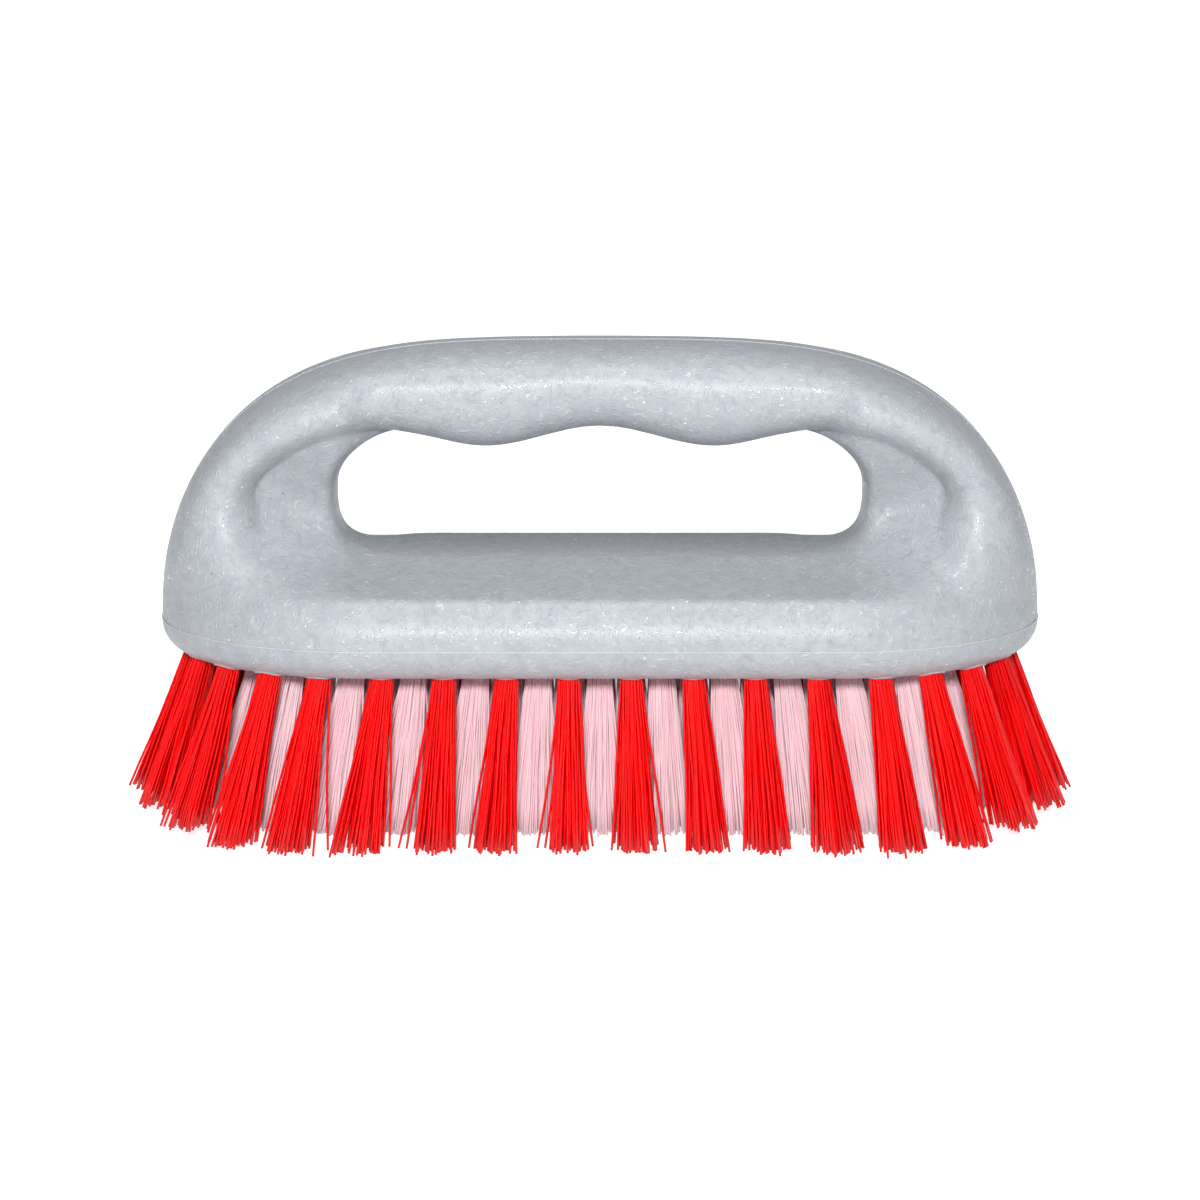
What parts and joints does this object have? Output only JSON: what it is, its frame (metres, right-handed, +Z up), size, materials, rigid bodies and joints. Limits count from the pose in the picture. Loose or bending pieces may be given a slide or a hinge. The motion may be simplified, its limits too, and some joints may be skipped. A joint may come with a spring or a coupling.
{
  "type": "scrub brush",
  "caption": "Hand scrub brush: a moulded block with a loop handle and finger hollows, and leaning tufts of stiff bristle held by wire anchors, red round the edge and pale inside.",
  "frame": {"origin": "on the surface the brush stands on, under the middle of the block", "axes": "+X along the brush, +Y across it, +Z up from the bristle tips to the handle"},
  "size_m": [0.1688, 0.0606, 0.086],
  "materials": {
    "block_plastic": "satin",
    "red_bristle": "gloss",
    "pale_bristle": "gloss",
    "anchor_wire": "satin"
  },
  "bodies": {
    "root": {"handle_block": "block_plastic", "outer_tuft_01": "red_bristle", "outer_tuft_02": "red_bristle", "outer_tuft_03": "red_bristle", "outer_tuft_04": "red_bristle", "outer_tuft_05": "red_bristle", "outer_tuft_06": "red_bristle", "outer_tuft_07": "red_bristle", "outer_tuft_08": "red_bristle", "outer_tuft_09": "red_bristle", "outer_tuft_10": "red_bristle", "outer_tuft_11": "red_bristle", "outer_tuft_12": "red_bristle", "outer_tuft_13": "red_bristle", "outer_tuft_14": "red_bristle", "outer_tuft_15": "red_bristle", "outer_tuft_16": "red_bristle", "outer_tuft_17": "red_bristle", "outer_tuft_18": "red_bristle", "outer_tuft_19": "red_bristle", "outer_tuft_20": "red_bristle", "outer_tuft_21": "red_bristle", "outer_tuft_22": "red_bristle", "outer_tuft_23": "red_bristle", "outer_tuft_24": "red_bristle", "outer_tuft_25": "red_bristle", "outer_tuft_26": "red_bristle", "outer_tuft_27": "red_bristle", "outer_tuft_28": "red_bristle", "outer_tuft_29": "red_bristle", "outer_tuft_30": "red_bristle", "outer_tuft_31": "red_bristle", "outer_tuft_32": "red_bristle", "outer_tuft_33": "red_bristle", "outer_tuft_34": "red_bristle", "inner_tufts_front_row": "pale_bristle", "inner_tufts_back_row": "pale_bristle", "inner_tufts_left_end": "pale_bristle", "inner_tufts_right_end": "pale_bristle", "centre_row_tufts": "pale_bristle", "anchors_outer_ring": "anchor_wire", "anchors_inner_ring": "anchor_wire", "anchors_centre_row": "anchor_wire"}
  },
  "joints": []
}
